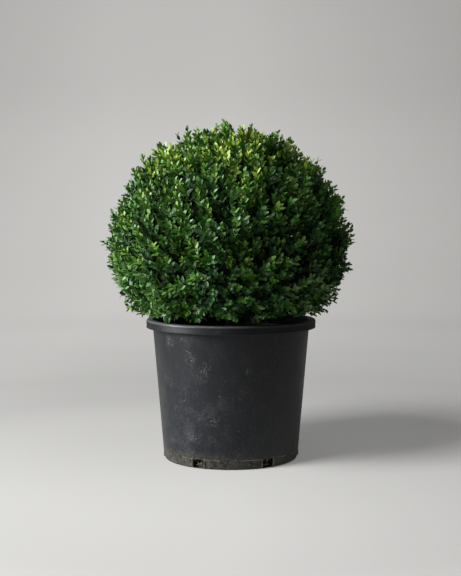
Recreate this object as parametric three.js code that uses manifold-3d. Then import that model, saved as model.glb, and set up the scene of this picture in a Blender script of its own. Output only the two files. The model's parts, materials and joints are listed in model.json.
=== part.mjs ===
// A box topiary ball in a plastic nursery pot: a clipped ball of small paired leaves on one short,
// many-boughed stem, standing in the compost of a tapered pot with drain slots round its foot.
// Millimetres, +Z up. The origin is the middle of the pot's underside, on the ground.
import * as THREE from "three";
import { mergeVertices } from "three/addons/utils/BufferGeometryUtils.js";
import Module from "manifold-3d";

const wasm = await Module();
wasm.setup();

// ---------------------------------------------------------------- driving dimensions

const CLEARANCE = 0.3; // between neighbouring pieces that touch on the real plant
const ROUND_SIDES = 48; // of the pot and the compost

const POT = {
  height: 272,
  baseRadius: 130.6,
  topRadius: 152, // of the wall, where the rim's skirt ends
  rimRadius: 165,
  skirtDepth: 16, // the skirt hangs from the rim's outer edge
  rimRound: 4, // radius of the rim's upper outer edge
  footRound: 4.5,
  wall: 2.5,
  floor: 3,
  footBand: 17.5, // height of the band at the foot
  footInset: 0.7, // by which the band lies behind the wall
};
const SLOT = { count: 6, width: 24, top: 18, cutDepth: 30, turn: THREE.MathUtils.degToRad(2) };
const COMPOST = {
  edge: 244, // its height at the pot's wall
  crown: 2, // by which it rises round the stem
  levelRadius: 40, // of the level place at its middle
};

const STEM = {
  foot: COMPOST.edge + COMPOST.crown + CLEARANCE,
  tip: 383,
  flareRadius: 25,
  radius: 14,
  tipRadius: 8,
  flareShare: 0.16, // of its length that the root flare takes
  lean: 7,
  offcut: 8, // length past each end that is cut off level
};
const BOUGH = {
  count: 6,
  firstHeight: 264, // where the lowest leaves the stem
  rise: 9, // from one bough's foot to the next
  footRadius: 7.5,
  tipRadius: 5,
  steepest: 0.62, // angle from straight up at which a bough meets the hollow, in radians
  flattest: 1.12,
  sag: 13,
  overrun: 1.1, // share of its reach that it is drawn with, before the hollow's curve cuts it
};

const BALL = {
  centre: new THREE.Vector3(-5, 0, 411),
  radius: 246, // to the clipped surface
  flattening: 0.012, // share by which it is lower than wide
  swell: 0.009, // share by which the clipped surface swells and dips
  tuck: 37, // by how much it draws in towards the underside,
  tuckFrom: 0.15, // from this share of the radius above the centre on down
  coreRadius: 204,
  coreDetail: 4,
  coreLump: 5, // by which the core's surface swells and dips
  underside: 300, // height of the core's level rim underneath
};
const HOLLOW = { radius: 112, height: 95, sides: 28, rings: 14 }; // the bare middle, under the core
const SPUR = { tipRadius: 8, footRadius: 9, sunk: 12 }; // the mass's own stem, over the trunk's tip
const SHOOT = {
  count: 80,
  length: 46,
  footRadius: 5,
  tipRadius: 3,
  rise: 0.16, // by which shoots lean up from the surface's own direction
  stray: 0.2, // by which they wander from it
  lowest: -0.6, // height of the lowest one's direction, on a unit ball
};
const LEAF = {
  length: 44,
  width: 27,
  thickness: 2.8,
  widest: 0.56, // share of its length from foot to widest place
  sunk: 0.8, // length past the middle of its twig
  unevenness: 0.07, // share by which leaves and shoots differ in length
  // Each rank down a shoot: how many leaves, how far under its tip, their angle from it, their size.
  ranks: [
    { leaves: 1, below: 0, spread: 0.1, size: 0.76 },
    { leaves: 2, below: 7, spread: 0.85, size: 1 },
    { leaves: 2, below: 15, spread: 1.15, size: 1.1 },
  ],
};
const OVER_RIM = 3; // height that leaves keep over the pot's rim
const BESIDE_RIM = 6; // distance they keep beside it
const LOWEST_LEAF = 252; // where they hang beside the rim
const SEED = 20;

const UP = new THREE.Vector3(0, 0, 1);
const GOLDEN_ANGLE = Math.PI * (3 - Math.sqrt(5));

// ---------------------------------------------------------------- materials

const finish = (color, roughness) =>
  new THREE.MeshStandardMaterial({ color, roughness, metalness: 0 });
const BLACK_PLASTIC = finish(0x26282b, 0.6);
const MOIST_COMPOST = finish(0x2b2018, 0.95);
const BARK = finish(0x6b5c47, 0.9);
const BOX_GREEN = finish(0x3d6a26, 0.5);

// ---------------------------------------------------------------- helpers

// Random numbers from 0 to 1 that are the same on every run.
function seeded(seed) {
  let state = seed >>> 0;
  return () => {
    state = (state + 0x6d2b79f5) >>> 0;
    let t = Math.imul(state ^ (state >>> 15), state | 1);
    t ^= t + Math.imul(t ^ (t >>> 7), t | 61);
    return ((t ^ (t >>> 14)) >>> 0) / 4294967296;
  };
}

// A closed mesh's geometry as a solid for cutting and joining.
function solid(geometry) {
  const bare = geometry.clone();
  bare.deleteAttribute("normal");
  bare.deleteAttribute("uv");
  const merged = mergeVertices(bare, 1e-3);
  return new wasm.Manifold(
    new wasm.Mesh({
      numProp: 3,
      vertProperties: merged.attributes.position.array,
      triVerts: new Uint32Array(merged.index.array),
    }),
  );
}

// The largest body of a solid as geometry: scraps and sealed hollows are left behind.
function geometryOf(made) {
  const [main] = made.decompose().sort((a, b) => b.volume() - a.volume());
  const mesh = main.getMesh();
  return new THREE.BufferGeometry()
    .setAttribute("position", new THREE.BufferAttribute(mesh.vertProperties, 3))
    .setIndex(new THREE.BufferAttribute(mesh.triVerts, 1));
}

// A geometry whose every point is moved by a function.
function moved(geometry, move) {
  const position = geometry.attributes.position;
  const point = new THREE.Vector3();
  for (let i = 0; i < position.count; i++) {
    move(point.fromBufferAttribute(position, i));
    position.setXYZ(i, point.x, point.y, point.z);
  }
  return geometry;
}

// A profile of [radius, height] pairs turned about the upright axis.
function turned(profile) {
  const points = profile.map(([radius, height]) => new THREE.Vector2(radius, height));
  return new THREE.LatheGeometry(points, ROUND_SIDES).rotateX(Math.PI / 2);
}

// Points of a round edge in a profile, from one angle to another.
function arc(centreRadius, centreHeight, radius, from, to, steps) {
  return Array.from({ length: steps + 1 }, (_, i) => {
    const angle = from + ((to - from) * i) / steps;
    return [centreRadius + radius * Math.cos(angle), centreHeight + radius * Math.sin(angle)];
  });
}

// A round limb along a curve, as thick as radiusAt says at each share of its length.
function limb(points, radiusAt, sides, steps) {
  const curve = new THREE.CatmullRomCurve3(points);
  const { normals, binormals } = curve.computeFrenetFrames(steps);
  return moved(new THREE.CylinderGeometry(1, 1, 1, sides, steps), (point) => {
    const { x, y, z } = point;
    const share = y + 0.5;
    const step = Math.round(share * steps);
    curve.getPointAt(share, point);
    point.addScaledVector(binormals[step], x * radiusAt(share));
    point.addScaledVector(normals[step], z * radiusAt(share));
  });
}

// All the space between two heights, wide enough for the whole plant.
function slab(from, to) {
  const width = 3 * BALL.radius;
  return solid(new THREE.BoxGeometry(width, width, to - from).translate(0, 0, (from + to) / 2));
}

// The matrix that stands a piece's own Y axis along a direction, with its own Z axis near "face".
function standing(origin, along, face) {
  const side = along.clone().cross(face).normalize();
  const front = side.clone().cross(along);
  return new THREE.Matrix4().makeBasis(side, along, front).setPosition(origin);
}

// ---------------------------------------------------------------- pot and compost

const wallRadiusAt = (height) =>
  THREE.MathUtils.mapLinear(height, 0, POT.height - POT.skirtDepth, POT.baseRadius, POT.topRadius);

// The pot's inner surface, less a gap: over the floor, up the foot band, past it and up the wall.
function innerProfile(gap, topHeight) {
  const inner = (height) => wallRadiusAt(height) - POT.wall - gap;
  return [
    [inner(0) - POT.footInset, POT.floor + gap],
    [inner(POT.footBand) - POT.footInset, POT.footBand + POT.wall],
    [inner(POT.footBand), POT.footBand + 2 * POT.wall],
    [inner(topHeight), topHeight],
  ];
}

function pot() {
  const { height, rimRadius, skirtDepth, rimRound, footRound, wall, footBand, footInset } = POT;
  const skirtFoot = height - skirtDepth;
  const underRim = height - wall;
  const lip = wall / 2;
  const insideSkirt = rimRadius - wall;
  const body = turned([
    [0, 0],
    ...arc(wallRadiusAt(0) - footInset - footRound, footRound, footRound, -Math.PI / 2, 0, 3),
    [wallRadiusAt(footBand) - footInset, footBand],
    [wallRadiusAt(footBand), footBand + footInset],
    [wallRadiusAt(underRim), underRim],
    [insideSkirt, underRim],
    [insideSkirt, skirtFoot],
    [rimRadius, skirtFoot],
    ...arc(rimRadius - rimRound, height - rimRound, rimRound, 0, Math.PI / 2, 3),
    ...arc(wallRadiusAt(height), height - lip, lip, Math.PI / 2, Math.PI, 2),
    ...innerProfile(0, height - 3 * wall).reverse(),
    [0, POT.floor],
  ]);
  let made = solid(body);
  for (let k = 0; k < SLOT.count; k++) {
    const slot = new THREE.BoxGeometry(SLOT.cutDepth, SLOT.width, SLOT.top - POT.floor)
      .translate(POT.baseRadius, 0, (SLOT.top + POT.floor) / 2)
      .rotateZ(SLOT.turn + (k * 2 * Math.PI) / SLOT.count);
    made = made.subtract(solid(slot));
  }
  return geometryOf(made);
}

function compost() {
  const profile = innerProfile(CLEARANCE, COMPOST.edge);
  const top = COMPOST.edge + COMPOST.crown;
  return turned([[0, POT.floor + CLEARANCE], ...profile, [COMPOST.levelRadius, top], [0, top]]);
}

// ---------------------------------------------------------------- stem and boughs

// The stem's own line leans one way and comes back over its foot. It runs past both of its ends.
const STEM_LINE = { foot: STEM.foot - STEM.offcut, tip: STEM.tip + STEM.offcut };

function stemPoint(height) {
  const share = (height - STEM_LINE.foot) / (STEM_LINE.tip - STEM_LINE.foot);
  return new THREE.Vector3(STEM.lean * Math.sin(Math.PI * share), 0, height);
}

// It tapers all the way and swells into a root flare at its foot, and both ends are cut level.
function stem(grown = 0) {
  const points = [0, 0.33, 0.67, 1].map((share) =>
    stemPoint(THREE.MathUtils.lerp(STEM_LINE.foot, STEM_LINE.tip, share)),
  );
  const radiusAt = (share) => {
    const flare = Math.max(0, 1 - share / STEM.flareShare) ** 2;
    const taper = THREE.MathUtils.lerp(STEM.radius, STEM.tipRadius, share);
    return taper + (STEM.flareRadius - STEM.radius) * flare + grown;
  };
  return solid(limb(points, radiusAt, 12, 14)).intersect(slab(STEM.foot, STEM.tip));
}

// The bare hollow under the core, where the boughs run; "less" keeps a limb clear of the core.
function hollow(less) {
  const share = 1 - less / HOLLOW.height;
  return solid(
    new THREE.SphereGeometry(1, HOLLOW.sides, HOLLOW.rings)
      .rotateX(Math.PI / 2)
      .scale(HOLLOW.radius * share, HOLLOW.radius * share, HOLLOW.height * share)
      .translate(0, 0, BALL.underside),
  );
}

// Boughs leave the stem by the golden angle, each a little higher and steeper than the last.
function boughPoints(k) {
  const round = k * GOLDEN_ANGLE;
  const slant = THREE.MathUtils.lerp(BOUGH.flattest, BOUGH.steepest, k / (BOUGH.count - 1));
  const outward = new THREE.Vector3(Math.cos(round), Math.sin(round), 0);
  const foot = stemPoint(BOUGH.firstHeight + k * BOUGH.rise);
  const tip = new THREE.Vector3(0, 0, BALL.underside)
    .addScaledVector(outward, HOLLOW.radius * Math.sin(slant) * BOUGH.overrun)
    .addScaledVector(UP, HOLLOW.height * Math.cos(slant) * BOUGH.overrun);
  const middle = foot.clone().lerp(tip, 0.5).addScaledVector(UP, -BOUGH.sag);
  return [foot, middle, tip];
}

function bough(k) {
  const taper = (share) => THREE.MathUtils.lerp(BOUGH.footRadius, BOUGH.tipRadius, share);
  const free = hollow(CLEARANCE).add(slab(0, BALL.underside - CLEARANCE));
  return geometryOf(solid(limb(boughPoints(k), taper, 8, 8)).subtract(stem(CLEARANCE)).intersect(free));
}

// ---------------------------------------------------------------- the clipped mass of foliage

// How far the clipped surface lies from the ball's centre: a slightly low ball with slow swells,
// tucked in towards its underside.
function clippedRadius({ x, y, z }) {
  const swell = Math.sin(2.6 * x + 1.7 * z + 0.4) * Math.sin(2.9 * y - 2.1 * z + 0.8);
  const globe = BALL.radius * (1 - BALL.flattening * z ** 2) * (1 + BALL.swell * swell);
  return globe - BALL.tuck * Math.max(0, BALL.tuckFrom - z) ** 2;
}

// Even directions over the ball, from straight up down to a lowest one.
function goldenDirection(k, count, lowest) {
  const z = 1 - ((k + 0.5) / count) * (1 - lowest);
  const flat = Math.sqrt(1 - z * z);
  const round = k * GOLDEN_ANGLE;
  return new THREE.Vector3(flat * Math.cos(round), flat * Math.sin(round), z);
}

// The dense middle of the mass, hollow underneath, with a surface in small lumps.
function core() {
  const lump = ({ x, y, z }) =>
    BALL.coreLump * Math.sin(9 * x + 4 * z) * Math.sin(9 * y - 3 * x) * Math.sin(9 * z + 4 * y);
  const ball = moved(new THREE.IcosahedronGeometry(1, BALL.coreDetail), (point) =>
    point.setLength(BALL.coreRadius + lump(point)).add(BALL.centre),
  );
  return solid(ball).subtract(slab(0, BALL.underside)).subtract(hollow(0));
}

// The mass's own stem hangs from the hollow's crown to just over the trunk's tip.
function spur() {
  const top = BALL.underside + HOLLOW.height + SPUR.sunk;
  const foot = STEM.tip + CLEARANCE;
  return solid(
    new THREE.CylinderGeometry(SPUR.tipRadius, SPUR.footRadius, top - foot, 12)
      .rotateX(Math.PI / 2)
      .translate(0, 0, (top + foot) / 2),
  );
}

// A leaf's blade, from its foot at the origin along +Y, with its domed upper face to +Z.
function leafBlade(size) {
  return moved(new THREE.OctahedronGeometry(1), (corner) => {
    const onEdge = Math.abs(corner.y) < 0.5;
    const share = onEdge ? LEAF.widest : (corner.y + 1) / 2;
    const dome = onEdge ? LEAF.thickness : 0;
    corner.set(
      (corner.x * LEAF.width * size) / 2,
      share * LEAF.length * size - LEAF.sunk,
      (corner.z * LEAF.thickness) / 2 + dome,
    );
  });
}

// True for a piece that stays inside the clipped surface and clear of the pot.
function keepsToItsSpace(geometry) {
  const position = geometry.attributes.position;
  const point = new THREE.Vector3();
  for (let i = 0; i < position.count; i++) {
    point.fromBufferAttribute(position, i);
    const overPot = Math.hypot(point.x, point.y) < POT.rimRadius + BESIDE_RIM;
    if (point.z < (overPot ? POT.height + OVER_RIM : LOWEST_LEAF)) return false;
    point.sub(BALL.centre);
    if (point.length() > clippedRadius(point.clone().normalize()) + LEAF.thickness) return false;
  }
  return true;
}

// One shoot: a three-sided twig with its leaves, each rank a quarter turn from the one above.
function shoot(k, random) {
  const wander = () => SHOOT.stray * (2 * random() - 1);
  const uneven = () => 1 + LEAF.unevenness * (2 * random() - 1);
  const outward = goldenDirection(k, SHOOT.count, SHOOT.lowest);
  const aim = new THREE.Vector3(wander(), wander(), SHOOT.rise + wander()).add(outward).normalize();
  const tipRoom = LEAF.length * LEAF.ranks[0].size * uneven();
  const tip = BALL.centre.clone().addScaledVector(outward, clippedRadius(outward) - tipRoom);
  const across = aim.clone().cross(new THREE.Vector3(aim.y, aim.z, aim.x)).normalize();
  const turn = random() * Math.PI;

  const twig = new THREE.CylinderGeometry(SHOOT.tipRadius, SHOOT.footRadius, SHOOT.length, 3)
    .translate(0, -SHOOT.length / 2, 0)
    .applyMatrix4(standing(tip, aim, across));
  const leaf = ({ below, spread, size }, round) => {
    const foot = tip.clone().addScaledVector(aim, -below);
    const side = across.clone().applyAxisAngle(aim, round);
    const along = aim.clone().multiplyScalar(Math.cos(spread)).addScaledVector(side, Math.sin(spread));
    return leafBlade(size * uneven()).applyMatrix4(standing(foot, along, aim));
  };
  const leaves = LEAF.ranks.flatMap((rank, step) =>
    Array.from({ length: rank.leaves }, (_, half) => leaf(rank, turn + (step / 2 + half) * Math.PI)),
  );
  return [twig, ...leaves].filter(keepsToItsSpace);
}

function foliage() {
  const random = seeded(SEED);
  const pieces = [core(), spur()];
  for (let k = 0; k < SHOOT.count; k++) {
    pieces.push(...shoot(k, random).map(solid));
  }
  return geometryOf(wasm.Manifold.union(pieces));
}

// ---------------------------------------------------------------- the plant in its pot

const group = new THREE.Group();

function place(name, geometry, material) {
  const mesh = new THREE.Mesh(geometry, material);
  mesh.name = name;
  group.add(mesh);
}

place("pot", pot(), BLACK_PLASTIC);
place("compost", compost(), MOIST_COMPOST);
place("stem", geometryOf(stem()), BARK);
for (let k = 0; k < BOUGH.count; k++) {
  place(`bough_${k + 1}`, bough(k), BARK);
}
place("foliage", foliage(), BOX_GREEN);

export default group;
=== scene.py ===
# %% [markdown]
# # A clipped box ball in its nursery pot
#
# A box ball is an evergreen shrub that shears keep to a globe. Each clip makes the cut twigs
# fork, so the outside becomes a skin of thousands of short leafy shoots while the middle goes
# bare. This lesson grows one in the same order: the frame of real sizes first, then the camera
# and the studio, the pot, the compost, the limbs, the twigs, and last the sprays of leaves.

import json
import math

import bmesh
import bpy
import numpy as np
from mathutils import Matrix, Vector
from mathutils.kdtree import KDTree
from mathutils.noise import noise as noise_at

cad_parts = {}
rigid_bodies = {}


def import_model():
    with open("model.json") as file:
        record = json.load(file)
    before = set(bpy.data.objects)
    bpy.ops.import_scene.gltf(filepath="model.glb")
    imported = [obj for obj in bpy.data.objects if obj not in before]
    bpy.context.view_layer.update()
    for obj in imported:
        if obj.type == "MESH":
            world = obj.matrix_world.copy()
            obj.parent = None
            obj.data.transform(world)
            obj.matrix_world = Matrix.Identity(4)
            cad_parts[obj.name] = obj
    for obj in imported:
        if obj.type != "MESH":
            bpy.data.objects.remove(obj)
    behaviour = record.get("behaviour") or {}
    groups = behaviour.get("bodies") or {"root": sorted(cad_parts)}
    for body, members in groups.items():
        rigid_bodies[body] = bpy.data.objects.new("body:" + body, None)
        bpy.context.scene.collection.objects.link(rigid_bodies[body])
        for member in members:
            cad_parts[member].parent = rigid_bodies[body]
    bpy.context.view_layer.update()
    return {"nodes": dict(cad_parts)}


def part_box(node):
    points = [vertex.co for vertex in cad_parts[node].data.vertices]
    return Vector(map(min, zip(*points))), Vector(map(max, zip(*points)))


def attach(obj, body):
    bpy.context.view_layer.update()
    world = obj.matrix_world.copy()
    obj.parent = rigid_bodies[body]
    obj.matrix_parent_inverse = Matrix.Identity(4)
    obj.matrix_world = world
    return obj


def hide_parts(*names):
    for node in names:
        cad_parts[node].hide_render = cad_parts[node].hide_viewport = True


for leftover in list(bpy.data.objects):
    bpy.data.objects.remove(leftover)
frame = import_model()

MM = 0.001
UP = np.array((0, 0, 1))
GOLDEN_ANGLE = math.pi * (3 - math.sqrt(5))
pot_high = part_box("pot")[1]
compost_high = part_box("compost")[1]
stem_low, stem_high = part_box("stem")
ball_low, ball_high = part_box("foliage")
print("nodes:", sorted(frame["nodes"]))

# %% [markdown]
# The camera stands a few steps in front of the pot, a little over the rim's height, and looks
# down by a few degrees. A long lens keeps the pot's sides nearly parallel, as in a catalogue.

# %% The camera
CAMERA_DISTANCE = 2.322
CAMERA_HEIGHT = 0.492
CAMERA_ASIDE = -0.0009
LOOK_DOWN = math.radians(3.96)
LENS = 74.6
SENSOR_WIDTH = 36

camera = bpy.data.objects.new("camera", bpy.data.cameras.new("camera"))
camera.data.lens = LENS
camera.data.sensor_width = SENSOR_WIDTH
camera.location = (CAMERA_ASIDE, -CAMERA_DISTANCE, CAMERA_HEIGHT)
camera.rotation_euler = (math.pi / 2 - LOOK_DOWN, 0, 0)
bpy.context.scene.collection.objects.link(camera)
bpy.context.scene.camera = camera
bpy.context.scene.view_settings.view_transform = "Standard"
print("camera lens", LENS, "mm at", tuple(camera.location))

# %% [markdown]
# Materials and Geometry Nodes are both built from nodes, and a script that adds them one by one
# grows long. This helper adds a node, fills its sockets in order and hands it back, so a formula
# reads as one. A socket given another node takes that node's first output.


# %% A helper for node trees
class Wiring:
    """Adds nodes to one tree and joins them up as they are made."""

    def __init__(self, tree):
        self.tree = tree

    def put(self, socket, value):
        if value is None:
            return
        if isinstance(value, bpy.types.Node):
            value = next(out for out in value.outputs if not out.is_unavailable)
        if isinstance(value, bpy.types.NodeSocket):
            self.tree.links.new(value, socket)
        else:
            socket.default_value = value

    def add(self, kind, *values, **settings):
        node = self.tree.nodes.new(kind)
        for setting, value in settings.items():
            setattr(node, setting, value)
        sockets = [socket for socket in node.inputs if not socket.is_unavailable]
        for socket, value in zip(sockets, values):
            self.put(socket, value)
        return node

    def math(self, operation, *values):
        return self.add("ShaderNodeMath", *values, operation=operation)

    def chained(self, operation, first, *others):
        """One operation carried on over any number of values."""
        for other in others:
            first = self.math(operation, first, other)
        return first

    def times(self, *values):
        return self.chained("MULTIPLY", *values)

    def total(self, *values):
        return self.chained("ADD", *values)

    def highest(self, *values):
        return self.chained("MAXIMUM", *values)

    def off(self, value, middle):
        """How far a value lies from a middle one, to either side."""
        return self.math("ABSOLUTE", self.math("SUBTRACT", value, middle))

    def vector(self, operation, *values):
        return self.add("ShaderNodeVectorMath", *values, operation=operation)

    def part(self, vector, axis):
        return self.add("ShaderNodeSeparateXYZ", vector).outputs[axis]

    def scaled(self, vector, factor):
        node = self.vector("SCALE", vector)
        self.put(node.inputs["Scale"], factor)
        return node

    def remapped(self, value, low, high, to_low=0.0, to_high=1.0):
        return self.add("ShaderNodeMapRange", value, low, high, to_low, to_high)

    def random(self, low, high, seed, kind="FLOAT"):
        return self.add("FunctionNodeRandomValue", low, high, None, seed, data_type=kind)


# %% [markdown]
# Every material here starts from a Principled shader and the object's own coordinates, and most
# of what weathers a surface is noise on those coordinates. So a finish is the same helper with a
# shader, a place to read and a few ways to draw on it.


# %% A helper for materials
class Finish(Wiring):
    """A material, the shader that it feeds and the place that its patterns read."""

    def __init__(self, name, roughness):
        self.material = bpy.data.materials.new(name)
        self.material.use_nodes = True
        super().__init__(self.material.node_tree)
        self.shader = self.tree.nodes["Principled BSDF"]
        self.place = self.add("ShaderNodeTexCoord").outputs["Object"]
        self.feed("Roughness", roughness)

    def feed(self, label, value):
        self.put(self.shader.inputs[label], value)

    def noise(self, scale, detail=3.0, rough=0.5):
        return self.add("ShaderNodeTexNoise", self.place, scale, detail, rough).outputs["Fac"]

    def noise_mask(self, low, high, *pattern):
        """Noise that is made none under a low level and full over a high one."""
        return self.remapped(self.noise(*pattern), low, high)

    def streaks(self, scales, detail, rough):
        """Noise with its own scale along each axis, so that it draws out into streaks."""
        place = self.add("ShaderNodeMapping", self.place, None, None, scales, vector_type="POINT")
        return self.add("ShaderNodeTexNoise", place, 1, detail, rough).outputs["Fac"]

    def over(self, below, above, mask):
        """One colour laid over another where a mask lets it."""
        node = self.add("ShaderNodeMix", data_type="RGBA")
        self.put(node.inputs["Factor"], mask)
        self.put(node.inputs[6], below)
        self.put(node.inputs[7], above)
        return node.outputs[2]

    def relief(self, height, strength, depth):
        """Let a pattern stand out of the surface as a bump."""
        bump = self.add("ShaderNodeBump")
        bump.inputs["Strength"].default_value = strength
        bump.inputs["Distance"].default_value = depth
        self.put(bump.inputs["Height"], height)
        self.feed("Normal", bump)


# %% [markdown]
# The studio is one seamless sheet of pale paper that turns up behind the plant. Here it is a
# wide bowl, turned about the plant, so that every side of the plant has the same backdrop. The
# paper's colour holds painted light and shade: its grey changes a little from its floor to its
# wall, and it is painted darker to the right and left and towards the lamps, which would burn it
# out there. No corner shows anywhere. A turned mesh is built ring by ring, with one point at each
# pole, so its faces come in the same order every run.

# %% The studio bowl
NEAR_FLOOR = 1.6
BOWL_FLOOR = 2.7
BOWL_BEND = 1.1
BOWL_WALL = 3.2
BOWL_SIDES = 128
PAPER_REACH = 4.5
PAPER_TINT = (1, 0.99, 0.965)
LAMP_WAY = (-0.81, -0.59, 0)
# Each painted shade runs from one distance to another, and from one brightness to another.
PAINTED_SHADE_TO_RIGHT = (0.0, 1.2, 1.0, 0.70)
PAINTED_SHADE_TO_LEFT = (-0.6, -1.2, 1.0, 0.88)
PAINTED_SHADE_TO_LAMPS = (1.0, 2.3, 1.0, 0.33)
# The paper's greys by distance: painted light and shade from its floor to its wall.
PAINTED_PAPER_GREYS = (
    (0, 0.308), (0.5, 0.301), (0.75, 0.284), (1.1, 0.320), (1.7, 0.449),
    (2.3, 0.612), (2.7, 0.712), (3.3, 0.633), (3.85, 0.636), (4.5, 0.490),
)


def turned_mesh(name, profile, sides):
    """A profile of (radius, height) pairs turned about the upright axis, outside on its right."""
    turns = [k * 2 * math.pi / sides for k in range(sides)]
    corners, rings, faces = [], [], []
    for radius, height in profile:
        count = sides if radius else 1
        rings.append([len(corners) + k % count for k in range(sides + 1)])
        corners += [(radius * math.cos(t), radius * math.sin(t), height) for t in turns[:count]]
    for one, other in zip(rings, rings[1:]):
        for k in range(sides):
            face = (one[k], one[k + 1], other[k + 1], other[k])
            faces.append(tuple(dict.fromkeys(face)))
    mesh = bpy.data.meshes.new(name)
    mesh.from_pydata(corners, [], faces)
    mesh.shade_smooth()
    return mesh


def add_object(name, mesh, material=None):
    made = bpy.data.objects.new(name, mesh)
    bpy.context.scene.collection.objects.link(made)
    if material:
        made.data.materials.clear()
        made.data.materials.append(material)
    return made


def paper():
    finish = Finish("studio_paper", 0.9)
    away = finish.vector("LENGTH", finish.place).outputs["Value"]
    # Painted light and shade: the paper's grey changes with the distance from the plant.
    painted_light_ramp = finish.add("ShaderNodeValToRGB", finish.math("DIVIDE", away, PAPER_REACH))
    stops = painted_light_ramp.color_ramp.elements
    stops.remove(stops[1])
    for reach, grey in PAINTED_PAPER_GREYS:
        stop = stops.new(reach / PAPER_REACH) if reach else stops[0]
        stop.color = (*(grey * share for share in PAPER_TINT), 1)
    sideways = finish.part(finish.place, "X")
    lampward = finish.vector("DOT_PRODUCT", finish.place, LAMP_WAY).outputs["Value"]
    # Painted shade: the paper's colour is darker to the sides and towards the lamps.
    shade = finish.chained(
        "MINIMUM",
        finish.remapped(sideways, *PAINTED_SHADE_TO_RIGHT),
        finish.remapped(sideways, *PAINTED_SHADE_TO_LEFT),
        finish.remapped(lampward, *PAINTED_SHADE_TO_LAMPS),
    )
    finish.feed("Base Color", finish.scaled(painted_light_ramp, shade))
    return finish.material


PAPER = paper()
bend = [
    (BOWL_FLOOR + BOWL_BEND * math.sin(turn), BOWL_BEND * (1 - math.cos(turn)))
    for turn in np.linspace(0, math.pi / 2, 16)
]
floor_profile = [(NEAR_FLOOR, 0), (0, 0)]
backdrop_profile = [(BOWL_FLOOR + BOWL_BEND, BOWL_WALL), *reversed(bend), (NEAR_FLOOR, 0)]
floor, backdrop = (
    add_object(name, turned_mesh(name, profile, BOWL_SIDES), PAPER)
    for name, profile in (("studio_floor", floor_profile), ("studio_backdrop", backdrop_profile))
)
backdrop.visible_diffuse = False
backdrop.visible_glossy = False
backdrop.visible_shadow = False
print("studio bowl", 2 * (BOWL_FLOOR + BOWL_BEND), "metres across")

# %% [markdown]
# The plant is lit by a soft window low on the left, with a small key lamp above it, and the
# right side falls into shade. The paper has two lamps of its own: one on the left and in front,
# which lays the plant's soft shadow on it, and a wide one high on the right, which fills it and
# casts no shadow of the plant. Light linking keeps each pair to what it is for. The room is dim
# all round, and brightest towards the window. No lamp is seen by the camera itself.

# %% The lights
BALL_MIDDLE = Vector((0, 0, (ball_low.z + ball_high.z) / 2))
LAMP_DISTANCE = 3.2
KEY = {"turn": 48, "rise": 54, "size": 1.0, "watts": 35}
WINDOW = {"turn": 13, "rise": 17, "size": 1.5, "watts": 232}
PAPER_SHADE = {"turn": 36, "rise": 44, "size": 1.3, "watts": 222}
PAPER_FILL = {"turn": 150, "rise": 60, "size": 2.5, "watts": 104}
SIDE_WAY = (-0.93, -0.12, 0.34)
SIDE_LIGHT = 0.30
SHADE_LIGHT = 0.07
ROOM_COLOUR = (1, 0.99, 0.97, 1)


def soft_box(name, turn, rise, size, watts):
    """A square lamp that faces the ball from a turn off the left and a rise, in degrees."""
    lamp = bpy.data.objects.new(name, bpy.data.lights.new(name, "AREA"))
    lamp.data.size = size
    lamp.data.energy = watts
    turn, rise = math.radians(turn), math.radians(rise)
    flat = math.cos(rise)
    aside = Vector((-flat * math.cos(turn), -flat * math.sin(turn), math.sin(rise)))
    lamp.location = BALL_MIDDLE + LAMP_DISTANCE * aside
    lamp.rotation_euler = aside.to_track_quat("Z", "Y").to_euler()
    lamp.visible_camera = False
    bpy.context.scene.collection.objects.link(lamp)
    return lamp


def sheets(name, state):
    """The studio's paper as a group for light linking, to be lit alone or to be left out."""
    group = bpy.data.collections.new(name)
    for sheet in (floor, backdrop):
        group.objects.link(sheet)
    for member in group.collection_objects:
        member.light_linking.link_state = state
    return group


def room(name):
    """A room that is bright towards its window side and dark on the other."""
    world = bpy.data.worlds.new(name)
    world.use_nodes = True
    wiring = Wiring(world.node_tree)
    way = wiring.add("ShaderNodeTexCoord").outputs["Generated"]
    facing = wiring.vector("DOT_PRODUCT", way, SIDE_WAY).outputs["Value"]
    brightness = wiring.math("POWER", wiring.remapped(facing, -0.3, 1.0), 2.0)
    strength = wiring.remapped(brightness, 0, 1, SHADE_LIGHT, SIDE_LIGHT)
    background = world.node_tree.nodes["Background"]
    background.inputs["Color"].default_value = ROOM_COLOUR
    wiring.put(background.inputs["Strength"], strength)
    return world


paper_only = sheets("paper_only", "INCLUDE")
all_but_paper = sheets("all_but_paper", "EXCLUDE")
for name, lamp, lit in (
    ("key_light", KEY, all_but_paper),
    ("window", WINDOW, all_but_paper),
    ("paper_shade", PAPER_SHADE, paper_only),
    ("paper_fill", PAPER_FILL, paper_only),
):
    soft_box(name, **lamp).light_linking.receiver_collection = lit
bpy.data.objects["paper_fill"].light_linking.blocker_collection = paper_only
bpy.context.scene.world = room("studio_room")

# %% [markdown]
# ## The pot
#
# A nursery pot is vacuum-formed or moulded in black plastic: a thin tapered wall, a rolled rim
# with a hanging skirt to lift it by, a band round the foot and slots for the water. It is
# turned from one profile, the slots are cut with a Boolean, and a Bevel on the sharp edges
# gives them the small round that catches light.

# %% The pot's profile
POT_HEIGHT = pot_high.z
RIM_RADIUS = pot_high.x
FOOT_RADIUS = 130.6 * MM
WALL_TOP_RADIUS = 152 * MM
SKIRT_DEPTH = 16 * MM
WALL = 2.5 * MM
FLOOR = 3 * MM
FOOT_BAND = 17.5 * MM
FOOT_INSET = 0.7 * MM
FOOT_ROUND = 4.5 * MM
FOOT_RISE = 0.6 * MM
FOOT_RING = FOOT_RADIUS - 12 * MM
POT_SIDES = 192


def wall_radius(height):
    """The outside of the pot's tapered wall at a height."""
    share = height / (POT_HEIGHT - SKIRT_DEPTH)
    return FOOT_RADIUS + (WALL_TOP_RADIUS - FOOT_RADIUS) * share


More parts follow.
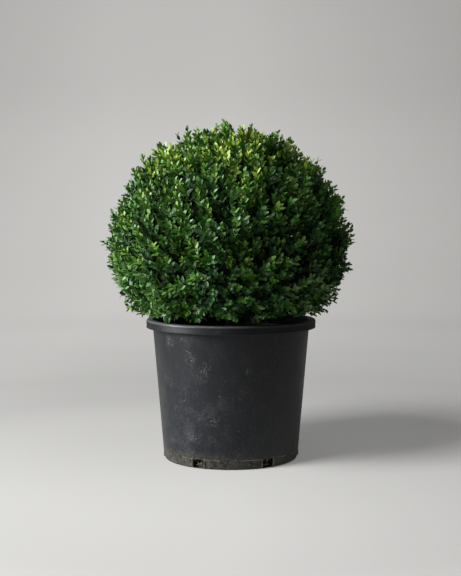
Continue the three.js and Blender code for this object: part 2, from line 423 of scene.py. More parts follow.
def arc(centre_radius, centre_height, radius, start, end, steps=6):
    """Points of a round edge in a profile, between two angles."""
    return [
        (centre_radius + radius * math.cos(turn), centre_height + radius * math.sin(turn))
        for turn in np.linspace(start, end, steps + 1)
    ]


def pot_profile():
    """Half the pot in section, from the middle of its foot up the outside and down the inside."""
    skirt_foot = POT_HEIGHT - SKIRT_DEPTH
    bead = 0.9 * MM
    rim_round = 4 * MM
    outside = [(wall_radius(z), z) for z in np.linspace(FOOT_BAND + FOOT_INSET, POT_HEIGHT - WALL, 40)]
    inside = [(r - WALL, z) for r, z in reversed(outside[:-1])]
    return [
        (0, FOOT_RISE),
        (FOOT_RING, FOOT_RISE),
        (FOOT_RADIUS - 10 * MM, 0),
        *arc(wall_radius(0) - FOOT_INSET - FOOT_ROUND, FOOT_ROUND, FOOT_ROUND, -math.pi / 2, 0, 5),
        (wall_radius(FOOT_BAND) - FOOT_INSET, FOOT_BAND),
        *outside,
        (RIM_RADIUS - WALL - 2 * MM, POT_HEIGHT - WALL),
        (RIM_RADIUS - WALL, POT_HEIGHT - WALL - 2 * MM),
        (RIM_RADIUS - WALL, skirt_foot),
        *arc(RIM_RADIUS - bead, skirt_foot + bead, bead, -math.pi / 2, 0, 4),
        (RIM_RADIUS - 0.5 * MM, skirt_foot + 3.4 * MM),
        *arc(RIM_RADIUS - rim_round, POT_HEIGHT - rim_round, rim_round, 0, math.pi / 2),
        (RIM_RADIUS - 9 * MM, POT_HEIGHT - 0.5 * MM),
        *arc(wall_radius(POT_HEIGHT), POT_HEIGHT - WALL / 2, WALL / 2, math.pi / 2, math.pi, 4),
        *inside,
        (wall_radius(FOOT_BAND) - WALL - FOOT_INSET, FOOT_BAND),
        (wall_radius(0) - WALL - FOOT_INSET, FLOOR),
        (0, FLOOR),
    ]


print("pot profile of", len(pot_profile()), "points")

# %% [markdown]
# Six slots stand round the foot, two of them about evenly to each side of the front. Each has a
# thin raised frame, as the mould leaves round an opening, and a strip of plastic below it.

# %% The slots
SLOTS = 6
SLOT_TURN = math.radians(2)
SLOT_WIDTH = 24 * MM
SLOT_LOW = 1.6 * MM
SLOT_HIGH = 18 * MM
FRAME_WIDTH = 2.0 * MM
FRAME_PROUD = 0.7 * MM
FRAME_LOW = 4 * MM
FRAME_HIGH = SLOT_HIGH + 0.8 * MM
EDGE_ROUND = 0.5 * MM


def slot_turn(k):
    return SLOT_TURN + k * 2 * math.pi / SLOTS


def ring_of_blocks(name, low, high):
    """One box at each slot, given by its corners at the slot that faces along +X."""
    mesh = bpy.data.meshes.new(name)
    work = bmesh.new()
    low, high = np.array(low), np.array(high)
    for k in range(SLOTS):
        turn = slot_turn(k)
        for corner in bmesh.ops.create_cube(work, size=1)["verts"]:
            out, across, height = low + (high - low) * (np.array(corner.co) + 0.5)
            corner.co = (
                out * math.cos(turn) - across * math.sin(turn),
                out * math.sin(turn) + across * math.cos(turn),
                height,
            )
    work.to_mesh(mesh)
    work.free()
    return add_object(name, mesh)


def boolean(target, tool, operation):
    change = target.modifiers.new(operation.lower(), "BOOLEAN")
    change.operation = operation
    change.object = tool
    change.solver = "EXACT"


def settled(carrier):
    """Turn an object's modifiers into its plain mesh, and take them off it."""
    evaluated = carrier.evaluated_get(bpy.context.evaluated_depsgraph_get())
    mesh = bpy.data.meshes.new_from_object(evaluated)
    carrier.modifiers.clear()
    carrier.data = mesh
    mesh.name = carrier.name
    return carrier


def moulded_pot():
    pot = add_object("nursery_pot", turned_mesh("nursery_pot", pot_profile(), POT_SIDES))
    half = SLOT_WIDTH / 2
    face = wall_radius(SLOT_HIGH / 2) - FOOT_INSET
    frames = ring_of_blocks(
        "slot_frames",
        (face - WALL, -half - FRAME_WIDTH, FRAME_LOW),
        (face + FRAME_PROUD, half + FRAME_WIDTH, FRAME_HIGH),
    )
    openings = ring_of_blocks(
        "slot_openings", (face - 4 * WALL, -half, SLOT_LOW), (face + 4 * WALL, half, SLOT_HIGH)
    )
    boolean(pot, frames, "UNION")
    boolean(pot, openings, "DIFFERENCE")
    bevel = pot.modifiers.new("edge_rounds", "BEVEL")
    bevel.width = EDGE_ROUND
    bevel.segments = 2
    bevel.angle_limit = math.radians(40)
    settled(pot)
    for tool in (frames, openings):
        bpy.data.objects.remove(tool)
    pot.data.shade_smooth()
    pot.data.set_sharp_from_angle(angle=math.radians(35))
    return pot


pot = moulded_pot()
print("pot:", len(pot.data.polygons), "faces")

# %% [markdown]
# New black plastic is even and a little blue. A season in the yard fades it, films it with grey
# dust, freckles it with dried drops, scratches and scuffs it, and leaves brown-green soil about
# its foot. A mask for each of those lies over the last, as the dirt does over the plastic.

# %% Colours and marks of the plastic
PLASTIC = (0.0048, 0.0055, 0.0072, 1)
FADED = (0.018, 0.0205, 0.027, 1)
DUST = (0.050, 0.051, 0.052, 1)
DRIED_DROPS = (0.20, 0.20, 0.20, 1)
# Painted highlight for the rim's top edge, partly wear.
RIM_HIGHLIGHT_AND_WEAR = (0.115, 0.122, 0.126, 1)
SOIL = (0.070, 0.066, 0.043, 1)
# Pale dry soil, also the painted highlight on the ledge over the foot band.
DRY_SOIL_AND_HIGHLIGHT = (0.24, 0.22, 0.16, 1)
# Each mark has its turn in degrees, its height, length and width in millimetres, and its slant.
SCRATCHES = (
    (-122, 221, 19, 1.8, 20),
    (-120, 212, 8, 1.6, -50),
    (-112, 186, 7, 1.6, 70),
    (-98, 140, 9, 1.4, 15),
    (-128, 128, 8, 1.4, -35),
    (-84, 74, 7, 1.4, 30),
    (35, 190, 22, 1.6, -25),
    (120, 120, 16, 1.6, 40),
)
SCUFFS = (
    (-140, 238, 30, 24, 10),
    (-126, 244, 22, 12, 0),
    (-120, 208, 26, 32, 30),
    (-110, 186, 30, 42, 15),
    (-77, 187, 20, 16, 0),
    (-104, 92, 30, 26, 0),
    (-120, 58, 40, 22, 0),
    (20, 215, 34, 26, 20),
    (100, 160, 40, 30, 0),
)
print("marks on the pot:", len(SCRATCHES), "scratches and", len(SCUFFS), "scuffs")

# %% [markdown]
# Two masks do most of the work besides plain noise. Freckles are the round cells of a Voronoi
# pattern, with all but a few left out. Marks from handling are few enough to list one by one, each
# in a small box on the wall that fades out towards its faces.

# %% Masks for wear
SPOT_DEPTH = 20 * MM


def freckles(finish, scale, size, rarity):
    """Small round dots at some of the cells of a pattern, from none to one."""
    cells = finish.add("ShaderNodeTexVoronoi", finish.place, scale)
    dot = finish.remapped(cells.outputs["Distance"], size, 0.5 * size)
    luck = finish.part(cells.outputs["Color"], "X")
    return finish.times(dot, finish.math("GREATER_THAN", luck, rarity))


def worn_spot(finish, turn, height, length, width, slant):
    """A small upright box on the wall that is full in its middle, in degrees and millimetres."""
    turn = math.radians(turn)
    reach = wall_radius(height * MM)
    middle = (reach * math.cos(turn), reach * math.sin(turn), height * MM)
    twist = (0, math.radians(slant), turn + math.pi / 2)
    half_size = (length / 2 * MM, SPOT_DEPTH, width / 2 * MM)
    inside = finish.add("ShaderNodeMapping", finish.place, middle, twist, half_size, vector_type="TEXTURE")
    across = finish.add("ShaderNodeSeparateXYZ", finish.vector("ABSOLUTE", inside))
    return finish.remapped(finish.highest(*across.outputs), 1.0, 0.3)


def worn_spots(finish, spots):
    """All the spots of a list as one mask."""
    return finish.highest(*[worn_spot(finish, *spot) for spot in spots])


def bleaching(finish):
    """Uneven fading: streaks down the wall, broad patches, mottling and speckle."""
    streaks = finish.times(finish.streaks((190, 190, 26), 4, 0.65), 0.7)
    patches = finish.times(finish.noise(13), 0.3)
    mottling = finish.times(finish.noise(62, 5, 0.7), 0.5)
    speckle = finish.noise(260, 3, 0.7)
    return finish.remapped(finish.total(streaks, patches, mottling, speckle), 1.05, 1.60)


def dried_drops(finish):
    """Drops of two sizes, close in some places and missing in others."""
    fine = finish.times(freckles(finish, 330, 0.30, 0.80), 0.5)
    coarse = freckles(finish, 120, 0.13, 0.84)
    return finish.times(finish.highest(fine, coarse), finish.noise_mask(0.46, 0.60, 22))


def handling_marks(finish):
    """Scratches with breaks in them, and scuffs of chips and haze."""
    scratched = finish.times(worn_spots(finish, SCRATCHES), finish.noise_mask(0.35, 0.55, 500, 1))
    haze = finish.times(finish.noise_mask(0.48, 0.66, 210, 3, 0.7), 0.45)
    chips = finish.highest(freckles(finish, 290, 0.34, 0.45), haze)
    return finish.highest(scratched, finish.times(worn_spots(finish, SCUFFS), chips))


def soil_at_foot_and_edges(finish, height, near_foot):
    """Soil about the foot, and the same colour in strips up the pot's left and right edges."""
    level = finish.vector("MULTIPLY", finish.place, (1, 1, 0))
    sideways = finish.part(finish.vector("NORMALIZE", level), "X")
    left = finish.times(
        finish.remapped(sideways, -0.84, -1.0),
        finish.noise_mask(0.40, 0.62, 62, 5, 0.7),
        finish.remapped(height, 0.27, 0.05, 0.30, 0.65),
    )
    right = finish.times(
        finish.remapped(sideways, 0.74, 0.95), finish.remapped(height, 0.17, 0.03), 0.6
    )
    patchiness = finish.noise_mask(0.42, 0.58, 130, 5, 0.8)
    return finish.times(finish.highest(near_foot, left, right), patchiness)


def dried_crust_and_ledge_highlight(finish, height):
    """Dry soil round the slot frames, and a ledge line over the foot band: dust and painted highlight."""
    off_ledge = finish.off(height, FOOT_BAND + FOOT_INSET / 2)
    # Painted highlight, partly dust: a pale line along the ledge.
    ledge_dust_and_highlight = finish.times(
        finish.remapped(off_ledge, 1.4 * MM, 0.5 * MM), finish.noise_mask(0.48, 0.58, 45)
    )
    axes = finish.add("ShaderNodeSeparateXYZ", finish.place).outputs
    around = finish.math("SUBTRACT", finish.math("ARCTAN2", axes["Y"], axes["X"]), SLOT_TURN)
    from_slot = finish.math("WRAP", around, math.pi / SLOTS, -math.pi / SLOTS)
    from_slot = finish.times(finish.math("ABSOLUTE", from_slot), FOOT_RADIUS)
    off_frame = finish.off(from_slot, SLOT_WIDTH / 2 + FRAME_WIDTH / 2)
    framed = finish.times(
        finish.remapped(off_frame, 1.6 * MM, 0.8 * MM),
        finish.remapped(height, FRAME_HIGH + 1.7 * MM, FRAME_HIGH + 0.2 * MM),
        finish.noise_mask(0.38, 0.55, 110, 2),
    )
    return finish.highest(ledge_dust_and_highlight, framed)


# %% [markdown]
# The pot's upper half is left less faded and dusty, and its rim less faded, so both come out
# darker: painted shade where the crown and the rim's overhang shadow them, partly shelter from
# the weather too. The rim's top edge is painted pale and made smoother: a painted highlight, partly
# worn by hands. Soil and dust are matt and a little thick, so they roughen the plastic's shine and
# stand out of it.

# %% Weathered black plastic
NEAR_FOOT = (34 * MM, 12 * MM)
# Painted shade: the upper wall and the rim are left less faded, so they come out darker.
SHADE_AND_SHELTER = (0.05, 0.24, 1.0, 0.38)
RIM_SHADE_AND_SHELTER = (0.2545, 0.2560, 1.0, 0.15)
# The band of the rim's top edge that is painted pale as a highlight.
RIM_HIGHLIGHT_BAND = (0.2680, 0.2705)


def weathered_plastic():
    finish = Finish("weathered_plastic", 0.5)
    height = finish.part(finish.place, "Z")
    near_foot = finish.remapped(height, *NEAR_FOOT)
    # Painted highlight: the rim's top edge in a pale colour, and smoother.
    rim_highlight = finish.remapped(height, *RIM_HIGHLIGHT_BAND)
    # Painted shade under the crown and the rim's overhang, as less fading and dust up the wall.
    shaded_and_sheltered = finish.remapped(height, *SHADE_AND_SHELTER)
    fading = finish.times(bleaching(finish), finish.remapped(height, *RIM_SHADE_AND_SHELTER), shaded_and_sheltered)
    film = finish.times(finish.noise(230, 6, 0.8), finish.noise(30))
    dust = finish.times(finish.remapped(film, 0.25, 0.42, 0.0, 0.55), shaded_and_sheltered)
    soil = soil_at_foot_and_edges(finish, height, near_foot)
    specks = finish.times(freckles(finish, 200, 0.30, 0.62), near_foot)

    colour = PLASTIC
    for mask, strength, dirt in (
        (fading, 1.0, FADED),
        (dust, 1.0, DUST),
        (dried_drops(finish), 0.6, DRIED_DROPS),
        (handling_marks(finish), 0.6, DRIED_DROPS),
        (soil, 0.8, SOIL),
        (dried_crust_and_ledge_highlight(finish, height), 0.45, DRY_SOIL_AND_HIGHLIGHT),
        (specks, 0.6, DRIED_DROPS),
        # Painted highlight along the rim's top edge, partly wear.
        (rim_highlight, 0.8, RIM_HIGHLIGHT_AND_WEAR),
    ):
        colour = finish.over(colour, dirt, finish.times(mask, strength))
    finish.feed("Base Color", colour)

    dirty = finish.highest(dust, soil)
    rough = finish.remapped(dirty, 0.0, 0.6, 0.42, 0.75)
    finish.feed("Roughness", finish.math("SUBTRACT", rough, finish.times(rim_highlight, 0.12)))
    finish.feed("Specular IOR Level", 0.3)
    finish.relief(finish.total(finish.noise(420, 3, 0.7), finish.times(dirty, 0.8)), 0.4, 0.25 * MM)
    return finish.material


def hand_over(piece, slot, *nodes):
    """Attach a finished piece to the root body and hide the frame parts that it stands for; slot is not
    used.
    """
    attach(piece, "root")
    if nodes:
        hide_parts(*nodes)
    return piece


pot.data.materials.clear()
pot.data.materials.append(weathered_plastic())
hand_over(pot, "pot_plastic", "pot")
print("pot finished in", pot.data.materials[0].name)

# %% [markdown]
# ## Geometry Nodes for what grows
#
# Everything woody on the plant is the same thing at different sizes: a path with a thickness.
# One tree turns paths, given as a mesh of edges with a "thickness" on each point, into closed
# round limbs, and roughs up the bark. Roots use it as well.


# %% A tree that turns paths into limbs
def geometry_tree(name, inputs):
    """An empty Geometry Nodes tree with named inputs, its wiring and their sockets."""
    tree = bpy.data.node_groups.new(name, "GeometryNodeTree")
    tree.interface.new_socket("Geometry", in_out="INPUT", socket_type="NodeSocketGeometry")
    for label, kind in inputs.items():
        tree.interface.new_socket(label, in_out="INPUT", socket_type="NodeSocket" + kind)
    tree.interface.new_socket("Geometry", in_out="OUTPUT", socket_type="NodeSocketGeometry")
    wiring = Wiring(tree)
    return tree, wiring, wiring.add("NodeGroupInput").outputs


def named(wiring, label, kind="FLOAT"):
    return wiring.add("GeometryNodeInputNamedAttribute", label, data_type=kind)


def end_tree(wiring, made, given):
    """Make a tree's copies real and give them its finish."""
    real = wiring.add("GeometryNodeRealizeInstances", made)
    wiring.add("NodeGroupOutput", wiring.add("GeometryNodeSetMaterial", real, None, given["Finish"]))


def limb_tree():
    tree, wiring, given = geometry_tree(
        "limbs_from_paths",
        {"Sides": "Int", "Relief": "Float", "Relief Scale": "Float", "Finish": "Material"},
    )
    paths = wiring.add("GeometryNodeMeshToCurve", given["Geometry"])
    section = wiring.add("GeometryNodeCurvePrimitiveCircle", given["Sides"], 1.0, mode="RADIUS")
    skin = wiring.add("GeometryNodeCurveToMesh", paths, section, named(wiring, "thickness"), True)
    place = wiring.add("GeometryNodeInputPosition")
    grain = wiring.vector("MULTIPLY", place, (1, 1, 0.3))
    rough = wiring.add("ShaderNodeTexNoise", grain, given["Relief Scale"], 3.0)
    height = wiring.times(wiring.math("SUBTRACT", rough, 0.5), given["Relief"])
    outward = wiring.scaled(wiring.add("GeometryNodeInputNormal"), height)
    barky = wiring.add("GeometryNodeSetPosition", skin, None, None, outward)
    end_tree(wiring, wiring.add("GeometryNodeSetShadeSmooth", barky, None, True), given)
    return tree


def grown(name, source, tree, **values):
    """Run a tree on a mesh and keep the result as a plain mesh object."""
    carrier = add_object(name, source)
    growth = carrier.modifiers.new("growth", "NODES")
    growth.node_group = tree
    sockets = {s.name: s.identifier for s in tree.interface.items_tree if s.in_out == "INPUT"}
    for label, value in values.items():
        growth[sockets[label.replace("_", " ")]] = value
    return settled(carrier)


def store(mesh, label, rows):
    """Keep a number or a vector for each point of a mesh, under a name that a tree can read."""
    kind, field = ("FLOAT_VECTOR", "vector") if rows.ndim > 1 else ("FLOAT", "value")
    mesh.attributes.new(label, kind, "POINT").data.foreach_set(field, rows.ravel())


def path_mesh(name, paths):
    """A mesh of edges from paths, each an array of rows x, y, z and thickness."""
    points = np.concatenate(paths)
    edges = []
    start = 0
    for path in paths:
        edges += [(start + k, start + k + 1) for k in range(len(path) - 1)]
        start += len(path)
    mesh = bpy.data.meshes.new(name)
    mesh.from_pydata(points[:, :3].tolist(), edges, [])
    store(mesh, "thickness", points[:, 3])
    return mesh


LIMBS_FROM_PATHS = limb_tree()


def limbs_along(name, paths, finish, sides, relief, relief_scale):
    """Closed round limbs along paths, as one piece."""
    return grown(
        name, path_mesh(name, paths), LIMBS_FROM_PATHS,
        Sides=sides, Relief=relief, Relief_Scale=relief_scale, Finish=finish,
    )


print("tree", LIMBS_FROM_PATHS.name, "with", len(LIMBS_FROM_PATHS.nodes), "nodes")

# %% [markdown]
# Bark on young box is thin, grey-brown and finely cracked along the limb. The shoots are still
# green and the roots are pale. Noise drawn out along the height makes the cracks on all three.


# %% Bark
def bark(name, dark, light):
    finish = Finish(name, 0.85)
    cracks = finish.streaks((420, 420, 60), 4, 0.6)
    finish.feed("Base Color", finish.over(dark, light, cracks))
    finish.relief(cracks, 0.5, 0.5 * MM)
    return finish.material


BARK = bark("cracked_bark", (0.055, 0.042, 0.026, 1), (0.20, 0.155, 0.10, 1))
GREEN_WOOD = bark("green_wood", (0.045, 0.060, 0.018, 1), (0.12, 0.13, 0.045, 1))
ROOT_SKIN = bark("root_skin", (0.10, 0.08, 0.045, 1), (0.33, 0.28, 0.18, 1))
print("bark:", [m.name for m in (BARK, GREEN_WOOD, ROOT_SKIN)])

# %% [markdown]
# ## Compost and roots
#
# The compost has sunk a little below the rim. It is one turned body whose top is roughened by
# crossing waves, with crumbs of bark and peat strewn on it by Geometry Nodes. Behind the slots it
# sits back from the wall, so that the slots read as dark mouths with roots in them.

# %% The body of compost
COMPOST_TOP = compost_high.z
COMPOST_RADIUS = compost_high.x
COMPOST_SIDES = 96
COMPOST_GAP = 0.5 * MM
SLOT_BACK = FOOT_RADIUS - 12 * MM
DARK_PEAT = (0.012, 0.008, 0.005, 1)
LIGHT_PEAT = (0.06, 0.04, 0.022, 1)


def compost_colour():
    finish = Finish("moist_compost", 0.95)
    clods = finish.noise_mask(0.35, 0.7, 120, 5, 0.7)
    finish.feed("Base Color", finish.over(DARK_PEAT, LIGHT_PEAT, clods))
    return finish.material


def lumps(x, y):
    """Waves of two sizes over the compost, from about -2 to 2."""
    broad = math.sin(210 * x + 90 * y) * math.sin(170 * y - 60 * x)
    return broad + math.sin(480 * x) * math.sin(510 * y + 40 * x)


COMPOST = compost_colour()
edge = COMPOST_TOP - 4 * MM
shares = np.linspace(0.985, 0, 36)
compost_profile = [
    (0, FLOOR + 0.4 * MM),
    (SLOT_BACK - 1 * MM, FLOOR + 0.4 * MM),
    (SLOT_BACK, SLOT_HIGH + 4 * MM),
    (wall_radius(30 * MM) - WALL - COMPOST_GAP, 30 * MM),
    (wall_radius(edge) - WALL - COMPOST_GAP, edge),
    *[(COMPOST_RADIUS * share, COMPOST_TOP - 2 * MM * share) for share in shares],
]
compost_mesh = turned_mesh("compost_body", compost_profile, COMPOST_SIDES)
for corner in compost_mesh.vertices:
    if corner.co.z > edge + 0.5 * MM:
        corner.co.z += 1.1 * MM * lumps(corner.co.x, corner.co.y) - 1.5 * MM
compost = add_object("compost_body", compost_mesh, COMPOST)
hand_over(compost, "compost", "compost")
print("compost top at", round(COMPOST_TOP, 4))

# %% [markdown]
# Crumbs are small uneven lumps, no two alike in size or turn. Three shapes are enough, because
# the tree gives every copy its own turn and scale before it makes them real.


# %% Crumbs on the compost
def hidden_kind(collection, mesh):
    """A shape that a tree copies from, kept out of the scene itself."""
    collection.objects.link(bpy.data.objects.new(mesh.name, mesh))


def drop_kinds(collection):
    for kind in list(collection.objects):
        bpy.data.objects.remove(kind)
    bpy.data.collections.remove(collection)


def crumb_kinds():
    kinds = bpy.data.collections.new("crumb_kinds")
    rng = np.random.default_rng(4)
    for k in range(3):
        work = bmesh.new()
        bmesh.ops.create_icosphere(work, subdivisions=1, radius=1)
        for corner in work.verts:
            corner.co *= 0.65 + 0.5 * rng.random()
            corner.co.z *= 0.7
        mesh = bpy.data.meshes.new(f"crumb_{k}")
        work.to_mesh(mesh)
        work.free()
        hidden_kind(kinds, mesh)
    return kinds


def crumb_tree():
    tree, wiring, given = geometry_tree(
        "strewn_crumbs",
        {"Kinds": "Collection", "Density": "Float", "Smallest": "Float", "Largest": "Float",
         "Floor Height": "Float", "Seed": "Int", "Finish": "Material"},
    )
    place = wiring.add("ShaderNodeSeparateXYZ", wiring.add("GeometryNodeInputPosition"))
    on_top = wiring.math("GREATER_THAN", place.outputs["Z"], given["Floor Height"])
    spots = wiring.add(
        "GeometryNodeDistributePointsOnFaces", given["Geometry"], on_top, given["Density"], given["Seed"]
    )
    kinds = wiring.add("GeometryNodeCollectionInfo", given["Kinds"], True, True)
    turn = wiring.random((0, 0, 0), (6.3, 6.3, 6.3), 1, "FLOAT_VECTOR")
    size = wiring.random(given["Smallest"], given["Largest"], 2)
    copies = wiring.add("GeometryNodeInstanceOnPoints", spots, None, kinds, True, None, turn, size)
    end_tree(wiring, copies, given)
    return tree


crumb_shapes = crumb_kinds()
crumbs = grown(
    "compost_crumbs", compost_mesh.copy(), crumb_tree(), Kinds=crumb_shapes, Density=32000.0,
    Smallest=0.8 * MM, Largest=2.8 * MM, Floor_Height=edge, Seed=3, Finish=COMPOST,
)
drop_kinds(crumb_shapes)
hand_over(crumbs, "compost")
print("crumbs:", len(crumbs.data.polygons), "faces")

# %% [markdown]
# A plant that has filled its pot shows roots at the slots. Each slot gets a few fine loops that
# cross the dark opening, and one hair that pokes out of it.

# %% Roots in the slots
ROOTS_A_SLOT = 9
ROOT_POINTS = 9
HAIR_POINTS = 6


def at_slot(k, deep, aside, height):
    """Places at a slot from how far out, how far aside and how high they are."""
    turn = slot_turn(k)
    out = np.array((math.cos(turn), math.sin(turn), 0))
    across = np.array((-math.sin(turn), math.cos(turn), 0))
    aside = np.broadcast_to(aside, deep.shape)
    return deep[:, None] * out + aside[:, None] * across + height[:, None] * UP


def root_paths():
    rng = np.random.default_rng(11)
    paths = []
    shares = np.linspace(0, 1, ROOT_POINTS)
    hair = np.linspace(0, 1, HAIR_POINTS)
    for k in range(SLOTS):
        for _ in range(ROOTS_A_SLOT):
            left, right = np.sort(rng.uniform(-0.5, 0.5, 2)) * SLOT_WIDTH
            low = rng.uniform(SLOT_LOW, SLOT_LOW + 8 * MM)
            rise = rng.uniform(2, 9) * MM
            depth = FOOT_RADIUS - rng.uniform(3.5, 9) * MM
            aside = left + (right - left) * shares + 1.2 * MM * np.sin(shares * rng.uniform(5, 11))
            height = np.minimum(low + rise * np.sin(math.pi * shares), SLOT_HIGH - 1 * MM)
            deep = depth - 4 * MM * np.cos(math.pi * shares) ** 2
            thickness = np.full((ROOT_POINTS, 1), rng.uniform(0.35, 0.75) * MM)
            paths.append(np.hstack((at_slot(k, deep, aside, height), thickness)))
        aside = rng.uniform(-0.4, 0.4) * SLOT_WIDTH
        deep = FOOT_RADIUS - 5 * MM + 10 * MM * hair
        height = SLOT_HIGH - 3 * MM + 2.5 * MM * np.sin(3 * hair)
        thickness = (0.35 - 0.25 * hair)[:, None] * MM
        paths.append(np.hstack((at_slot(k, deep, aside, height), thickness)))
    return paths


roots = limbs_along("slot_roots", root_paths(), ROOT_SKIN, 5, 0.2 * MM, 900.0)
hand_over(roots, "bark")
print("roots:", len(roots.data.polygons), "faces")

# %% [markdown]
# ## Stem and boughs
#
# A box ball is raised from a bush, not a standard: one stub of a stem flares at the compost and
# forks at once. The stem leans one way and comes back over its foot, and six boughs leave it by
# the golden angle, each a little higher and steeper than the last.

# %% Lines of the stem and boughs
STEM_RADIUS = 14 * MM
STEM_TIP_RADIUS = 8 * MM
FLARE_RADIUS = 20 * MM
STEM_LEAN = 7 * MM
BOUGHS = 6
FIRST_BOUGH = 264 * MM
BOUGH_RISE = 9 * MM
BOUGH_SAG = 13 * MM
BOUGH_SLANT = 1.12
LAST_BOUGH_SLANT = 0.62
STEM_POINTS = 48
BOUGH_RADIUS = 7.5 * MM
BOUGH_TIP_RADIUS = 5 * MM
BOUGH_STEPS = 24
HOLLOW_MIDDLE = 300 * MM
HOLLOW_RADIUS = 112 * MM
HOLLOW_HEIGHT = 95 * MM


def stem_point(height):
    share = (height - stem_low.z) / (stem_high.z - stem_low.z)
    return np.array((STEM_LEAN * math.sin(math.pi * share), 0, height))


def stem_path():
    heights = np.linspace(stem_low.z - 2 * MM, stem_high.z, STEM_POINTS)
    shares = np.linspace(0, 1, STEM_POINTS)
    flare = (FLARE_RADIUS - STEM_RADIUS) * np.maximum(0, 1 - shares / 0.14) ** 2
    thickness = STEM_RADIUS + (STEM_TIP_RADIUS - STEM_RADIUS) * shares + flare
    return np.array([(*stem_point(z), t) for z, t in zip(heights, thickness)])


def bent(start, middle, end, steps):
    """Points along a curve that leaves start, passes near middle and ends at end."""
    shares = np.linspace(0, 1, steps + 1)[:, None]
    control = 2 * middle - (start + end) / 2
    return (1 - shares) ** 2 * start + 2 * shares * (1 - shares) * control + shares**2 * end


def bough_path(k):
    turn = k * GOLDEN_ANGLE
    slant = BOUGH_SLANT + (LAST_BOUGH_SLANT - BOUGH_SLANT) * k / (BOUGHS - 1)
    out = np.array((math.cos(turn), math.sin(turn), 0))
    foot = stem_point(FIRST_BOUGH + k * BOUGH_RISE)
    tip = out * HOLLOW_RADIUS * math.sin(slant)
    tip[2] = HOLLOW_MIDDLE + HOLLOW_HEIGHT * math.cos(slant)
    middle = (foot + tip) / 2 - BOUGH_SAG * UP
    thickness = np.linspace(BOUGH_RADIUS, BOUGH_TIP_RADIUS, BOUGH_STEPS + 1)[:, None]
    return np.hstack((bent(foot, middle, tip, BOUGH_STEPS), thickness))


main_paths = [stem_path()] + [bough_path(k) for k in range(BOUGHS)]
stem_and_boughs = limbs_along("stem_and_boughs", main_paths, BARK, 18, 2.4 * MM, 170.0)
hand_over(stem_and_boughs, "bark", "stem", *[f"bough_{k + 1}" for k in range(BOUGHS)])
print("stem and boughs:", len(stem_and_boughs.data.polygons), "faces")

# %% [markdown]
# ## Growing the crown
#
# The rule is the same at each size. Tips are dealt evenly over a shell round the ball's centre
# by the golden angle, and each tip's limb springs from the nearest wood of the shell inside it
# and sags a little on its way. Three shells carry the wood from the boughs to the clipped skin:
# limbs, twigs and shoots.

# %% The clipped surface and even directions
BALL_CENTRE = np.array((-4, 0, 412)) * MM
BALL_RADIUS = 247 * MM
FLATTENING = 0.012
SWELL = 0.009
TUCK = 70 * MM
TUCK_FROM = 0.15


def clipped_radius(ways):
    """How far the clipped surface lies from the centre along unit directions."""
    x, y, z = ways.T
    swell = np.sin(2.6 * x + 1.7 * z + 0.4) * np.sin(2.9 * y - 2.1 * z + 0.8)
    globe = BALL_RADIUS * (1 - FLATTENING * z**2) * (1 + SWELL * swell)
    return globe - TUCK * np.maximum(0, TUCK_FROM - z) ** 4


def golden_directions(count, lowest):
    """Even directions from straight up down to a lowest one."""
    step = np.arange(count)
    z = 1 - (step + 0.5) / count * (1 - lowest)
    flat = np.sqrt(1 - z**2)
    return np.stack((flat * np.cos(step * GOLDEN_ANGLE), flat * np.sin(step * GOLDEN_ANGLE), z), axis=1)


def unit(rows):
    return rows / np.linalg.norm(rows, axis=1)[:, None]


def shell(count, lowest, share, unevenness):
    """Tips over a shell at a share of the clipped radius, and their directions."""
    ways = golden_directions(count, lowest)
    ways = unit(ways + rng.normal(0, unevenness / math.sqrt(count), ways.shape))
    return BALL_CENTRE + ways * (clipped_radius(ways) * share)[:, None], ways


rng = np.random.default_rng(20)
print("ball of radius", BALL_RADIUS, "about", BALL_CENTRE)

# %% [markdown]
# To find the nearest wood quickly, the points of the shell inside go into a k-d tree. A limb is
# as thick at its foot as its own size asks, thinner than what carries it, and tapers to its tip.


# %% Limbs and twigs
LIMBS = {"count": 60, "lowest": -0.35, "share": 0.54, "unevenness": 0.5}
LIMB_WOOD = {"sag": 0.10, "foot_thickness": 4.2 * MM, "tip_thickness": 2.6 * MM, "steps": 8}
TWIGS = {"count": 620, "lowest": -0.52, "share": 0.76, "unevenness": 0.5}
TWIG_WOOD = {"sag": 0.08, "foot_thickness": 2.0 * MM, "tip_thickness": 1.2 * MM, "steps": 5}


def spring(carriers, tips, sag, foot_thickness, tip_thickness, steps):
    """One path to each tip from the nearest point of the paths that carry it."""
    wood = np.concatenate(carriers)
    nearest = KDTree(len(wood))
    for index, point in enumerate(wood):
        nearest.insert(point[:3], index)
    nearest.balance()
    paths = []
    for tip in tips:
        foot = wood[nearest.find(tip)[1]][:3]
        middle = (foot + tip) / 2 - sag * np.linalg.norm(tip - foot) * UP
        thickness = np.linspace(foot_thickness, tip_thickness, steps + 1)[:, None]
        paths.append(np.hstack((bent(foot, middle, tip, steps), thickness)))
    return paths


limb_paths = spring(main_paths, shell(**LIMBS)[0], **LIMB_WOOD)
twig_paths = spring(limb_paths, shell(**TWIGS)[0], **TWIG_WOOD)
limbs = limbs_along("limbs", limb_paths, BARK, 8, 0.8 * MM, 260.0)
twigs = limbs_along("twigs", twig_paths, BARK, 5, 0.2 * MM, 400.0)
for piece in (limbs, twigs):
    hand_over(piece, "bark", "foliage")
print("limbs:", len(limb_paths), "twigs:", len(twig_paths))

# %% [markdown]
# Shoots stand close on the outside, about a finger's width apart. They start out along the
# surface's own direction and turn up to the light, more on the sides than on top. Clumps stand
# proud, wider hollows lie between them, and over a quarter of the shoots are short ones deep
# inside, which keep the hollows dark green. Under the ball a ring of short shoots closes the gap
# over the pot's rim, and any that crosses the rim is raised clear of it.

